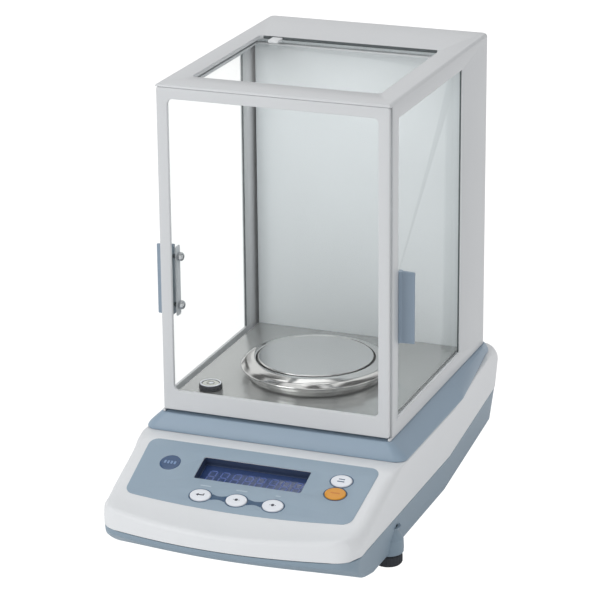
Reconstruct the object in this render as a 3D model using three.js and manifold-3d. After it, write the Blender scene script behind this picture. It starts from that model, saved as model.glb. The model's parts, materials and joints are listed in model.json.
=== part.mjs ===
// Analytical balance: a console base that carries a glass draught shield over a round weighing pan.
// Millimetres, +Z up, the console faces -Y. The origin is on the standing surface, under the
// middle of the base.
import * as THREE from "three";
import { ConvexGeometry } from "three/addons/geometries/ConvexGeometry.js";
import { mergeVertices } from "three/addons/utils/BufferGeometryUtils.js";
import Module from "manifold-3d";

const wasm = await Module();
wasm.setup();

// ---- driving dimensions ----

const GAP = 0.3; // left between pieces that touch
const SEGMENTS = 24; // round a cylinder
const FINE_SEGMENTS = 40; // round the pan and its ring

// The base shells, seen from above: widest over the front two thirds, narrower at the rear.
const BASE_FRONT = -196.5;
const BASE_REAR = 192;
const BASE_HALF = 104;
const BASE_REAR_HALF = 91;
const TRAY_INSET = 0.5; // the tray stands this far inside the upper housing
const FRONT_BOW = 10.6; // how far the middle of the front stands ahead of its ends
const FRONT_CORNER = 16;
const REAR_CORNER = 13;
const TAPER_START = 30;
const WALL = 3;
const SEAM_HALF = 100.3; // half the width of the base at the joint between its shells
const TRAY_LEAN = 0.136; // how far the tray's sides lean out for each unit of height
const HOUSING_LEAN = 0.09; // the same for the upper housing
const FRONT_LIP = 51.9; // height of the housing's front edge

// Heights of the base.
const TRAY_BOTTOM = 9.1;
const SEAM = 39.3; // the joint between the tray and the upper housing
const HOUSING_TOP = 80;
const PLINTH_BOTTOM = HOUSING_TOP + GAP;
const PLINTH_TOP = 93.2;
const PORT_ROOM = 15; // depth behind the rear wall that the connectors use

// The sloping console. Its panel is laid out from the middle of its top edge.
const PANEL_Y = -102.9;
const PANEL_Z = 79.3;
const PANEL_TILT = THREE.MathUtils.degToRad(19.47);
const RIDGE_Y = -192.5; // where the front lip ends and the rounded front face begins
const LIP_REAR = -167; // where the slope flattens into the front lip
const OVERLAY_TOP_HALF = 91.5;
const OVERLAY_BOTTOM_HALF = 88.4;
const OVERLAY_LENGTH = 61.3;
const OVERLAY_BOW = 6;
const OVERLAY_CORNER = 8;
const OVERLAY_THICK = 0.6;
const WINDOW = { x: -0.7, s: 24.65, width: 84.6, height: 23.7 };
const KEY_RX = 8.05;
const KEY_RS = 6.25;
const KEY_PROUD = 1.4;
const KEY_TRAVEL = 0.7;
const KEYS = [
  { name: "lower_left_key", x: -30.5, s: 54 },
  { name: "lower_middle_key", x: -2.05, s: 54 },
  { name: "lower_right_key", x: 26.4, s: 54 },
  { name: "upper_right_key", x: 67, s: 18.4 },
  { name: "orange_right_key", x: 67, s: 32.5 },
];
const BADGE = { x: -66.6, s: 24.1, radius: 8.1 };
const KEYPAD_BOARD_TOP = -8.2;

// The draught shield.
const SHIELD_HALF = 91;
const SHIELD_FRONT = -82.5;
const SHIELD_REAR = 145;
const SHIELD_BOTTOM = 93.5;
const SHIELD_TOP = 348.4;
const FRAME_HALF = 90;
const FRAME_BOTTOM = 95.5;
const FRAME_TOP = 346;
const FRAME_THICK = 4.3;
const FRONT_WINDOW = { half: 81.4, bottom: 111.2, top: 337.6, corner: 4.2 };
const POST_REAR = -65.9; // where the side door openings begin
const COLUMN_FRONT = 79.6; // where they end
const SILL_TOP = 106; // lower edge of the side door openings
const HEAD_BOTTOM = 334.7; // upper edge of the side door openings
const TOP_OPENING = { half: 73.4, front: -55.8 };
const HEAD_INNER = 84; // inner face of the head rails, over the side doors
const SHEET = 2.8; // top sheet of the shield
const LEDGE = { half: 76, bottom: 341, top: 342.4 }; // carries the top pane
const SKIN = 1.9; // side skins of the shield, outside the door grooves

// The doors. Each pane runs in grooves that pass right through the rear column.
const PANE = 2.6;
const DOOR_INNER = 86.2;
const DOOR_FRONT = -77.3;
const DOOR_REAR = 81;
const DOOR_BOTTOM = 101.8;
const DOOR_TOP = 337.2;
const TOP_DOOR = { half: 78.6, front: -58.8, rear: 81.5, bottom: 342.7 };
const HANDLE = { front: -64.6, rear: -57.2, bottom: 163.8, top: 218.6, fin: 13.1, finThick: 2.6 };
const HANDLE_SCREWS = [172, 210.2];
const BACKPLATE = 0.9;
const SCREW_HEAD = { radius: 3.5, proud: 4.2 };

// The chamber.
const FLOOR_TOP = 104.7;
const FLOOR_HALF = 85.2;
const BACK_PANEL_Y = 97.5;
const BACK_PANEL_HALF = 85.5;
const PAN_Y = 3;
const PAN_TOP = 120;
const PAN_RADIUS = 44.6;
const LEVEL = { x: -63.8, y: -53.7, radius: 9 };

// Feet.
const FOOT_RADIUS = 10.5;
const FOOT_HEIGHT = 8.8;
const BOSS_RADIUS = 11.8;
const FRONT_FEET = { x: 92, y: -89.5 };
const REAR_FEET = { x: 68, y: 138 };
const STUD_RADIUS = 3.9;
const INSERT_RADIUS = 6.5;
const TRAY_SCREWS = [[-88, -140], [88, -140], [-86, 60], [86, 60]];

// ---- materials ----

const paint = (color, roughness, metalness = 0) =>
  new THREE.MeshStandardMaterial({ color, roughness, metalness });
const clear = (color) =>
  new THREE.MeshStandardMaterial({ color, roughness: 0.05, transparent: true, opacity: 0.3 });

const WHITE_SHELL = () => paint(0xd8dadc, 0.45);
const SHIELD_PAINT = () => paint(0xc6c9cc, 0.5);
const BLUE_SHELL = () => paint(0x8398ac, 0.5);
const PANEL_BLUE = () => paint(0x8ca0b0, 0.4);
const KEY_WHITE = () => paint(0xeceef0, 0.4);
const KEY_ORANGE = () => paint(0xebaa3c, 0.4);
const BADGE_BLUE = () => paint(0x324b78, 0.35);
const DISPLAY_BLUE = () => paint(0x3e4e87, 0.15);
const STEEL = () => paint(0xc8c9cb, 0.18, 1);
const ALUMINIUM = () => paint(0xb0b3b6, 0.4, 1);
const BRASS = () => paint(0xb59a5a, 0.35, 1);
const RUBBER = () => paint(0x1e2128, 0.8);
const BLACK_PLASTIC = () => paint(0x26282c, 0.5);
const BOARD_GREEN = () => paint(0x2f6b45, 0.6);
const HANDLE_BLUE = () => paint(0x6f8ca4, 0.45);
const GREY_PLASTIC = () => paint(0x9fa4a8, 0.5);
const GLASS = () => clear(0xdfeae6);

// ---- solids ----

function solid(geometry) {
  const bare = geometry.clone();
  bare.deleteAttribute("normal");
  bare.deleteAttribute("uv");
  const merged = mergeVertices(bare, 1e-4);
  return new wasm.Manifold(
    new wasm.Mesh({
      numProp: 3,
      vertProperties: merged.attributes.position.array,
      triVerts: new Uint32Array(merged.index.array),
    }),
  );
}

function join(...pieces) {
  return pieces.reduce((a, b) => a.add(b));
}

function cut(piece, ...cutters) {
  return cutters.reduce((a, b) => a.subtract(b), piece);
}

function geometryOf(manifold) {
  const made = manifold.getMesh();
  const geometry = new THREE.BufferGeometry();
  geometry.setAttribute("position", new THREE.BufferAttribute(made.vertProperties, 3));
  geometry.setIndex(new THREE.BufferAttribute(made.triVerts, 1));
  const flat = geometry.toNonIndexed();
  flat.computeVertexNormals();
  return flat;
}

function box(x0, x1, y0, y1, z0, z1) {
  const geometry = new THREE.BoxGeometry(Math.abs(x1 - x0), y1 - y0, z1 - z0);
  geometry.translate((x0 + x1) / 2, (y0 + y1) / 2, (z0 + z1) / 2);
  return solid(geometry);
}

// An upright cylinder at (x, y).
function rod(radius, z0, z1, x = 0, y = 0, segments = SEGMENTS) {
  const geometry = new THREE.CylinderGeometry(radius, radius, z1 - z0, segments);
  geometry.rotateX(Math.PI / 2);
  geometry.translate(x, y, (z0 + z1) / 2);
  return solid(geometry);
}

// A cylinder along X, from x0 to x1.
function pinAlongX(radius, x0, x1, y, z) {
  const geometry = new THREE.CylinderGeometry(radius, radius, Math.abs(x1 - x0), 20);
  geometry.rotateZ(Math.PI / 2);
  geometry.translate((x0 + x1) / 2, y, z);
  return solid(geometry);
}

// A cylinder along Y, from y0 to y1.
function pinAlongY(radius, y0, y1, x, z) {
  const geometry = new THREE.CylinderGeometry(radius, radius, y1 - y0, 20);
  geometry.translate(x, (y0 + y1) / 2, z);
  return solid(geometry);
}

// A flat shape (x, y) raised from z0 to z1.
function slab(shape, z0, z1, curveSegments = 6) {
  const geometry = new THREE.ExtrudeGeometry(shape, {
    depth: z1 - z0,
    bevelEnabled: false,
    curveSegments,
  });
  geometry.translate(0, 0, z0);
  return geometry;
}

// A side profile (y, z) drawn out along X, over the full width of the base.
function sideProfile(shape) {
  const half = BASE_HALF + 5;
  const geometry = slab(shape, -half, half);
  const turn = new THREE.Matrix4().makeBasis(
    new THREE.Vector3(0, 1, 0),
    new THREE.Vector3(0, 0, 1),
    new THREE.Vector3(1, 0, 0),
  );
  return solid(geometry.applyMatrix4(turn));
}

// A front profile (x, z) drawn out along Y.
function frontProfile(shape, y0, y1) {
  const geometry = slab(shape, -y1, -y0);
  const turn = new THREE.Matrix4().makeBasis(
    new THREE.Vector3(1, 0, 0),
    new THREE.Vector3(0, 0, 1),
    new THREE.Vector3(0, -1, 0),
  );
  return solid(geometry.applyMatrix4(turn));
}

// A profile of [radius, height] points turned about the upright axis at (x, y).
function turned(points, x, y, segments = SEGMENTS) {
  const profile = points.map(([radius, height]) => new THREE.Vector2(radius, height));
  const geometry = new THREE.LatheGeometry(profile, segments);
  geometry.rotateX(Math.PI / 2);
  geometry.translate(x, y, 0);
  return geometry;
}

function roundedRect(x0, x1, y0, y1, radius) {
  const shape = new THREE.Shape();
  shape.moveTo(x0 + radius, y0);
  shape.lineTo(x1 - radius, y0);
  shape.absarc(x1 - radius, y0 + radius, radius, -Math.PI / 2, 0);
  shape.lineTo(x1, y1 - radius);
  shape.absarc(x1 - radius, y1 - radius, radius, 0, Math.PI / 2);
  shape.lineTo(x0 + radius, y1);
  shape.absarc(x0 + radius, y1 - radius, radius, Math.PI / 2, Math.PI);
  shape.lineTo(x0, y0 + radius);
  shape.absarc(x0 + radius, y0 + radius, radius, Math.PI, 1.5 * Math.PI);
  return shape;
}

function ellipse(x, y, rx, ry) {
  const shape = new THREE.Shape();
  shape.absellipse(x, y, rx, ry, 0, 2 * Math.PI);
  return shape;
}

const group = new THREE.Group();

function add(name, shape, material, parent = group) {
  const geometry = shape.isBufferGeometry ? shape : geometryOf(shape);
  const mesh = new THREE.Mesh(geometry, material);
  mesh.name = name;
  parent.add(mesh);
}

// ---- base shells ----

// Outline of the base shells from above, moved in by inset.
function basePlan(inset) {
  const front = BASE_FRONT + inset;
  const rear = BASE_REAR - inset;
  const half = BASE_HALF - inset;
  const rearHalf = BASE_REAR_HALF - inset;
  const ends = front + FRONT_BOW;
  const shape = new THREE.Shape();
  shape.moveTo(-half + FRONT_CORNER, ends);
  shape.quadraticCurveTo(0, front - FRONT_BOW, half - FRONT_CORNER, ends);
  shape.quadraticCurveTo(half, ends + FRONT_CORNER / 4, half, ends + FRONT_CORNER);
  shape.lineTo(half, TAPER_START);
  shape.lineTo(rearHalf, rear - REAR_CORNER);
  shape.quadraticCurveTo(rearHalf - 1, rear, rearHalf - REAR_CORNER, rear);
  shape.lineTo(-rearHalf + REAR_CORNER, rear);
  shape.quadraticCurveTo(-rearHalf + 1, rear, -rearHalf, rear - REAR_CORNER);
  shape.lineTo(-half, TAPER_START);
  shape.lineTo(-half, ends + FRONT_CORNER);
  shape.quadraticCurveTo(-half, ends + FRONT_CORNER / 4, -half + FRONT_CORNER, ends);
  return shape;
}

function slopeHeight(y) {
  return PANEL_Z - (PANEL_Y - y) * Math.tan(PANEL_TILT);
}

// Side view of the upper housing, lowered by drop.
function housingProfile(drop) {
  const bottom = SEAM - drop;
  const top = HOUSING_TOP - drop;
  const shape = new THREE.Shape();
  shape.moveTo(BASE_FRONT, bottom);
  shape.lineTo(BASE_FRONT, FRONT_LIP - 4 - drop);
  shape.quadraticCurveTo(BASE_FRONT, FRONT_LIP - drop, RIDGE_Y, FRONT_LIP - drop);
  shape.lineTo(LIP_REAR, slopeHeight(LIP_REAR) - drop);
  shape.lineTo(PANEL_Y, PANEL_Z - drop);
  shape.lineTo(PANEL_Y + 14, top);
  shape.lineTo(BASE_REAR - 15, top);
  shape.quadraticCurveTo(BASE_REAR, top, BASE_REAR, top - 16);
  shape.lineTo(BASE_REAR, bottom);
  shape.closePath();
  return shape;
}

// Side view of the tray, raised by lift: a chin curves under at the front.
function trayProfile(lift) {
  const bottom = TRAY_BOTTOM + lift;
  const rim = SEAM - GAP + lift;
  const shape = new THREE.Shape();
  shape.moveTo(BASE_FRONT, rim);
  shape.lineTo(BASE_FRONT + 1, bottom + 24.4);
  shape.quadraticCurveTo(BASE_FRONT + 22.5, bottom + 8, BASE_FRONT + 66, bottom);
  shape.lineTo(BASE_REAR - 10, bottom);
  shape.quadraticCurveTo(BASE_REAR, bottom, BASE_REAR, bottom + 9);
  shape.lineTo(BASE_REAR, rim);
  shape.closePath();
  return shape;
}

// Front view of the base: its sides lean out towards the top.
function leaningSides(inset) {
  const high = HOUSING_TOP + 10;
  const middle = SEAM_HALF - inset;
  const lowHalf = middle - SEAM * TRAY_LEAN;
  const highHalf = middle + (high - SEAM) * HOUSING_LEAN;
  const shape = new THREE.Shape();
  shape.moveTo(-lowHalf, 0);
  shape.lineTo(lowHalf, 0);
  shape.lineTo(middle, SEAM);
  shape.lineTo(highHalf, high);
  shape.lineTo(-highHalf, high);
  shape.lineTo(-middle, SEAM);
  shape.closePath();
  return frontProfile(shape, BASE_FRONT - 5, BASE_REAR + 5);
}

function baseBlock(profile, inset, z0, z1) {
  const block = solid(slab(basePlan(inset), z0, z1));
  return block.intersect(sideProfile(profile)).intersect(leaningSides(inset));
}

const panelMatrix = new THREE.Matrix4().makeRotationX(PANEL_TILT);
panelMatrix.setPosition(0, PANEL_Y, PANEL_Z);
const panelGroup = new THREE.Group();
panelGroup.applyMatrix4(panelMatrix);
group.add(panelGroup);

// A shape on the console panel, given as x and minus the distance down the slope, raised
// between two heights over the panel's surface and placed on the slope.
function onPanel(shape, n0, n1) {
  return solid(slab(shape, n0, n1).applyMatrix4(panelMatrix));
}

function overlayOutline(grow = 0) {
  const top = grow;
  const bottom = -OVERLAY_LENGTH - grow;
  const topHalf = OVERLAY_TOP_HALF + grow;
  const bottomHalf = OVERLAY_BOTTOM_HALF + grow;
  const r = OVERLAY_CORNER;
  const shape = new THREE.Shape();
  shape.moveTo(-bottomHalf + r, bottom - 1);
  shape.quadraticCurveTo(0, bottom - 2 * OVERLAY_BOW + 1, bottomHalf - r, bottom - 1);
  shape.quadraticCurveTo(bottomHalf, bottom, bottomHalf, bottom + r);
  shape.lineTo(topHalf, top - r);
  shape.quadraticCurveTo(topHalf, top, topHalf - r, top);
  shape.lineTo(-topHalf + r, top);
  shape.quadraticCurveTo(-topHalf, top, -topHalf, top - r);
  shape.lineTo(-bottomHalf, bottom + r);
  shape.quadraticCurveTo(-bottomHalf, bottom, -bottomHalf + r, bottom - 1);
  return shape;
}

function windowRect(grow) {
  const { x, s, width, height } = WINDOW;
  const w = width / 2 + grow;
  const h = height / 2 + grow;
  return roundedRect(x - w, x + w, -s - h, -s + h, 1.5);
}

function buildBase() {
  const feet = [FRONT_FEET, REAR_FEET].flatMap(({ x, y }) => [[-x, y], [x, y]]);
  const pads = [[-60, -100], [60, -100], [-60, 130], [60, 130]];
  const trayShell = cut(
    baseBlock(trayProfile(0), TRAY_INSET, TRAY_BOTTOM, SEAM - GAP),
    baseBlock(trayProfile(WALL), TRAY_INSET + WALL, TRAY_BOTTOM, SEAM + 5),
  );
  const tray = cut(
    join(
      trayShell,
      ...feet.map(([x, y]) => rod(BOSS_RADIUS, TRAY_BOTTOM, TRAY_BOTTOM + WALL + 5, x, y)),
      ...pads.map(([x, y]) => rod(6, TRAY_BOTTOM, 26, x, y)),
      ...TRAY_SCREWS.map(([x, y]) => rod(6.5, TRAY_BOTTOM, 26, x, y)),
    ),
    ...feet.map(([x, y]) => rod(INSERT_RADIUS + GAP, 0, 30, x, y)),
    ...feet.map(([x, y]) => rod(STUD_RADIUS + GAP, 0, 35, x, y)),
    ...TRAY_SCREWS.map(([x, y]) => rod(2.2, 0, 30, x, y)),
    ...TRAY_SCREWS.map(([x, y]) => rod(4, 0, 23, x, y)),
  );
  add("base_tray", tray, BLUE_SHELL());

  const housingShell = cut(
    baseBlock(housingProfile(0), 0, SEAM, HOUSING_TOP),
    baseBlock(housingProfile(WALL), WALL, SEAM - 5, HOUSING_TOP),
  );
  const postTop = (y) => Math.min(slopeHeight(y), HOUSING_TOP) - 2;
  const housing = cut(
    join(
      housingShell,
      ...TRAY_SCREWS.map(([x, y]) => rod(5, 27, postTop(y), x, y)),
    ),
    ...TRAY_SCREWS.map(([x, y]) => rod(2.1, 20, 45, x, y)),
    box(-62, 62, -60, 132, 60, 90),
    onPanel(overlayOutline(GAP), -OVERLAY_THICK - GAP, 5),
    onPanel(windowRect(GAP), -10, 5),
    ...KEYS.map(({ x, s }) => onPanel(ellipse(x, -s, KEY_RX + GAP, KEY_RS + GAP), -10, 5)),
    box(-58.4, -29.6, BASE_REAR - PORT_ROOM, BASE_REAR + 5, 45.6, 58.4),
    box(34.6, 49.4, BASE_REAR - PORT_ROOM, BASE_REAR + 5, 44.6, 59.4),
  );
  add("upper_housing", housing, WHITE_SHELL());

  // The plinth cover flares from the shield's footprint out to the housing's sides.
  const rimPoints = (shape, z) =>
    shape.getPoints(5).map(({ x, y }) => new THREE.Vector3(x, y, z));
  const lowerRim = new THREE.Shape();
  lowerRim.moveTo(-94, -89);
  lowerRim.lineTo(94, -89);
  lowerRim.quadraticCurveTo(104, -89, 104, -79);
  lowerRim.lineTo(104, 30);
  lowerRim.quadraticCurveTo(102, 92, 91.5, 150);
  lowerRim.quadraticCurveTo(88, 166, 78, 166);
  lowerRim.lineTo(-78, 166);
  lowerRim.quadraticCurveTo(-88, 166, -91.5, 150);
  lowerRim.quadraticCurveTo(-102, 92, -104, 30);
  lowerRim.lineTo(-104, -79);
  lowerRim.quadraticCurveTo(-104, -89, -94, -89);
  const upperRim = roundedRect(-92, 92, SHIELD_FRONT - 1.3, SHIELD_REAR + 1.5, 3);
  const plinthBlock = solid(
    new ConvexGeometry([
      ...rimPoints(lowerRim, PLINTH_BOTTOM),
      ...rimPoints(upperRim, PLINTH_TOP),
    ]),
  );
  const plinth = cut(
    plinthBlock,
    box(-86, 86, -78, 138, PLINTH_BOTTOM - 5, PLINTH_TOP - WALL),
    box(-34, 34, -34, 40, PLINTH_BOTTOM, PLINTH_TOP + 5),
  );
  add("plinth_cover", plinth, BLUE_SHELL());
}

// ---- inside the base ----

function buildWorks() {
  const boardPosts = [[-70, -55], [-42, -55], [-70, 95], [-42, 95]];
  const plate = join(
    box(-78, 78, -120, 142, 26.3, 31.3),
    ...boardPosts.map(([x, y]) => rod(3, 31, 35.7, x, y, 16)),
  );
  add("chassis_plate", plate, ALUMINIUM());

  const cell = cut(
    box(-30, 30, -22, 92, 31.6, 66),
    box(-40, 40, 2, 66, 40, 46),
    box(-40, 40, 2, 66, 52, 58),
  );
  add("weigh_cell", cell, ALUMINIUM());
  add("magnet_pot", rod(22, 31.6, 60, 0, 116), STEEL());

  const receiver = join(
    box(-9, 9, -18, 14, 67.4, 73),
    rod(5, 72, 110.5, 0, PAN_Y),
    rod(7, 110, 112, 0, PAN_Y),
    rod(3.7, 111.5, 116.2, 0, PAN_Y),
  );
  add("load_receiver", receiver, STEEL());

  add("main_circuit_board", box(-74, -38, -60, 100, 36, 37.6), BOARD_GREEN());

  const board = new THREE.Shape();
  board.moveTo(-46, -62);
  board.lineTo(80, -62);
  board.lineTo(80, -8);
  board.lineTo(54, -8);
  board.lineTo(54, -44);
  board.lineTo(-46, -44);
  board.closePath();
  add("keypad_board", slab(board, KEYPAD_BOARD_TOP - 1.6, KEYPAD_BOARD_TOP), BOARD_GREEN(), panelGroup);

  const display = slab(windowRect(2), -11, -4.2);
  add("display_module", display, BLACK_PLASTIC(), panelGroup);

  add(
    "serial_port",
    join(
      box(-58, -30, BASE_REAR - 13, BASE_REAR - WALL, 46, 58),
      frontProfile(roundedRect(-52, -36, 48, 56, 2.5), BASE_REAR - 4, BASE_REAR - 0.4),
    ),
    ALUMINIUM(),
  );
  const jack = cut(
    box(35, 49, BASE_REAR - PORT_ROOM, BASE_REAR - 0.4, 45, 59),
    pinAlongY(3.6, BASE_REAR - 11, BASE_REAR + 1, 42, 52),
  );
  const pin = pinAlongY(1.1, BASE_REAR - 12, BASE_REAR - 2, 42, 52);
  add("power_inlet", join(jack, pin), BLACK_PLASTIC());
}

// ---- console panel ----

function buildPanel() {
  const overlay = overlayOutline();
  overlay.holes.push(windowRect(0));
  overlay.holes.push(ellipse(BADGE.x, -BADGE.s, BADGE.radius + GAP, BADGE.radius + GAP));
  for (const { x, s } of KEYS)
    overlay.holes.push(ellipse(x, -s, KEY_RX + GAP, KEY_RS + GAP));
  add("keypad_overlay", slab(overlay, -OVERLAY_THICK, 0), PANEL_BLUE(), panelGroup);

  add("display_window", slab(windowRect(-GAP), -2.6, -1), DISPLAY_BLUE(), panelGroup);
  const badge = ellipse(BADGE.x, -BADGE.s, BADGE.radius, BADGE.radius);
  add("badge_disc", slab(badge, -OVERLAY_THICK, 0.3), BADGE_BLUE(), panelGroup);

  // Each key is an oval cap on a stem that ends just over its switch.
  const stemEnd = KEYPAD_BOARD_TOP + GAP + KEY_TRAVEL;
  for (const { name, x, s } of KEYS) {
    const cap = slab(ellipse(x, -s, KEY_RX, KEY_RS), -5, KEY_PROUD);
    const key = join(solid(cap), rod(2.5, stemEnd, -4.5, x, -s, 20));
    const material = name.startsWith("orange") ? KEY_ORANGE() : KEY_WHITE();
    add(name, key, material, panelGroup);
  }
}

// ---- feet and tray screws ----

function buildFeet() {
  for (const [side, sign] of [["left", -1], ["right", 1]]) {
    const x = sign * FRONT_FEET.x;
    const { y } = FRONT_FEET;
    const foot = join(
      rod(FOOT_RADIUS, 0, FOOT_HEIGHT, x, y),
      rod(STUD_RADIUS, FOOT_HEIGHT - 1, 34, x, y, 20),
    );
    add("front_" + side + "_levelling_foot", foot, RUBBER());
    const insert = cut(
      rod(INSERT_RADIUS, TRAY_BOTTOM + GAP, 25, x, y),
      rod(STUD_RADIUS + GAP, 0, 30, x, y, 20),
    );
    add("front_" + side + "_thread_insert", insert, BRASS());

    const rearX = sign * REAR_FEET.x;
    const rearFoot = join(
      rod(FOOT_RADIUS, 0, FOOT_HEIGHT, rearX, REAR_FEET.y),
      rod(INSERT_RADIUS, FOOT_HEIGHT - 1, 22, rearX, REAR_FEET.y),
    );
    add("rear_" + side + "_foot", rearFoot, RUBBER());
  }
  TRAY_SCREWS.forEach(([x, y], i) => {
    const screw = join(rod(3.6, 20.5, 22.7, x, y, 16), rod(1.8, 22, 44, x, y, 12));
    add("tray_screw_" + (i + 1), screw, STEEL());
  });
}

// ---- draught shield ----

const GROOVE_INNER = DOOR_INNER - 0.5;
const GROOVE_OUTER = SHIELD_HALF - SKIN;
const BEHIND_FRAME = SHIELD_FRONT + FRAME_THICK + GAP;

// The two door grooves, left and right, between two heights and two depths.
function grooves(y0, y1, z0, z1) {
  return [
    box(GROOVE_INNER, GROOVE_OUTER, y0, y1, z0, z1),
    box(-GROOVE_OUTER, -GROOVE_INNER, y0, y1, z0, z1),
  ];
}

function buildShield() {
  const recess = FLOOR_TOP - 1.4;
  const baseFrame = cut(
    join(
      box(-SHIELD_HALF, SHIELD_HALF, BEHIND_FRAME, SHIELD_REAR, SHIELD_BOTTOM, SILL_TOP),
      box(-SHIELD_HALF, SHIELD_HALF, SHIELD_FRONT, SHIELD_REAR, SHIELD_BOTTOM, FRAME_BOTTOM - GAP),
    ),
    box(-70, 70, -58, 74, 90, 110),
    box(-GROOVE_OUTER, GROOVE_OUTER, -90, SHIELD_REAR + 1, recess, 110),
    ...grooves(-90, SHIELD_REAR + 1, DOOR_BOTTOM - GAP, 110),
  );
  add("shield_base_frame", baseFrame, SHIELD_PAINT());

  for (const [side, sign] of [["left", -1], ["right", 1]]) {
    const [inner, outer] = [sign * GROOVE_OUTER, sign * SHIELD_HALF];
    const post = box(inner, outer, BEHIND_FRAME, POST_REAR, SILL_TOP + GAP, HEAD_BOTTOM - GAP);
    add("front_" + side + "_post", post, SHIELD_PAINT());
  }

  const headRear = COLUMN_FRONT - GAP;
  const sheetBottom = SHIELD_TOP - SHEET;
  const topSlot = [LEDGE.top, sheetBottom];
  const { half: openHalf, front: openFront } = TOP_OPENING;
  const topFrame = cut(
    join(
      box(-SHIELD_HALF, SHIELD_HALF, BEHIND_FRAME, headRear, HEAD_BOTTOM, SHIELD_TOP),
      box(-SHIELD_HALF, SHIELD_HALF, SHIELD_FRONT, 0, FRAME_TOP + GAP, SHIELD_TOP),
    ),
    box(-HEAD_INNER, HEAD_INNER, -90, 90, 330, LEDGE.bottom),
    box(-openHalf, openHalf, openFront, 90, 330, 350),
    box(-LEDGE.half, LEDGE.half, openFront - 0.5, 90, 330, sheetBottom),
    box(-79, 79, TOP_DOOR.front - 0.7, 90, ...topSlot),
    ...grooves(-90, 90, 330, DOOR_TOP + 0.4),
  );
  add("shield_top_frame", topFrame, SHIELD_PAINT());

  const columnShell = cut(
    box(-SHIELD_HALF, SHIELD_HALF, COLUMN_FRONT, SHIELD_REAR, SILL_TOP + GAP, SHIELD_TOP),
    box(-GROOVE_OUTER, GROOVE_OUTER, COLUMN_FRONT - 5, SHIELD_REAR - WALL, 90, sheetBottom),
    box(-79, 79, 130, 150, ...topSlot),
    ...grooves(130, 150, 90, DOOR_TOP + 0.4),
  );
  const barHalf = GROOVE_OUTER + 0.5;
  const crossBar = box(-barHalf, barHalf, COLUMN_FRONT, COLUMN_FRONT + 5, LEDGE.bottom, LEDGE.top);
  const column = join(columnShell, crossBar);
  add("rear_column", column, SHIELD_PAINT());

  const panel = box(
    -BACK_PANEL_HALF,
    BACK_PANEL_HALF,
    BACK_PANEL_Y,
    BACK_PANEL_Y + 2,
    FLOOR_TOP - 1,
    topSlot[0] - GAP,
  );
  add("chamber_back_panel", panel, SHIELD_PAINT());

  const { half, bottom, top, corner } = FRONT_WINDOW;
  const frameShape = roundedRect(-FRAME_HALF, FRAME_HALF, FRAME_BOTTOM, FRAME_TOP, 1.5);
  frameShape.holes.push(roundedRect(-half, half, bottom, top, corner));
  const frameBack = SHIELD_FRONT + FRAME_THICK;
  const rebate = box(-half - 4.4, half + 4.4, frameBack - 2.4, frameBack + 1, bottom - 4.4, top + 4.4);
  add(
    "front_frame",
    cut(frontProfile(frameShape, SHIELD_FRONT, frameBack), rebate),
    SHIELD_PAINT(),
  );
  add(
    "front_glass",
    box(-half - 4, half + 4, frameBack - 2.1, frameBack - 0.2, bottom - 4, top + 4),
    GLASS(),
  );

  const clip = join(
    box(-63, -54.5, 68, headRear, 346, 347.6),
    box(-63, -54.5, 68, 69.5, 345.6, 347),
  );
  add("top_door_clip", clip, WHITE_SHELL());
}

// ---- doors ----

function buildDoors() {
  for (const [side, sign] of [["left", -1], ["right", 1]]) {
    const glassIn = DOOR_INNER;
    const glassOut = DOOR_INNER + PANE;
    const plateOut = glassIn - GAP;
    const plateIn = plateOut - BACKPLATE;
    const finIn = glassOut + GAP;
    const finFoot = finIn + 3.2;
    const middle = (HANDLE.front + HANDLE.rear) / 2;
    const holes = HANDLE_SCREWS.map((z) =>
      pinAlongX(1.9, sign * (plateIn - 1), sign * (finFoot - 0.6), middle, z),
    );
    const along = (x0, x1, y0, y1, z0, z1) => box(sign * x0, sign * x1, y0, y1, z0, z1);

    const glass = along(glassIn, glassOut, DOOR_FRONT, DOOR_REAR, DOOR_BOTTOM, DOOR_TOP);
    add(side + "_door_glass", cut(glass, ...holes), GLASS());

    const { front, rear, bottom, top, fin, finThick } = HANDLE;
    const handle = join(
      along(finIn, finFoot, front, rear, bottom, top),
      along(finIn, finIn + fin, middle - finThick / 2, middle + finThick / 2, bottom, top),
    );
    add(side + "_door_handle", cut(handle, ...holes), HANDLE_BLUE());

    const backplate = along(plateIn, plateOut, front, rear, bottom, top);
    add(side + "_door_backplate", cut(backplate, ...holes), GREY_PLASTIC());

    HANDLE_SCREWS.forEach((z, i) => {
      const headOut = plateIn - GAP;
      const screw = join(
        pinAlongX(SCREW_HEAD.radius, sign * (headOut - SCREW_HEAD.proud), sign * headOut, middle, z),
        pinAlongX(1.6, sign * (headOut - 0.5), sign * (finFoot - 1.2), middle, z),
      );
      add(side + "_handle_screw_" + (i + 1), screw, STEEL());
    });
  }
  const { half, front, rear, bottom } = TOP_DOOR;
  add("top_door_glass", box(-half, half, front, rear, bottom, bottom + PANE), GLASS());
}

// ---- chamber ----

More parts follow.
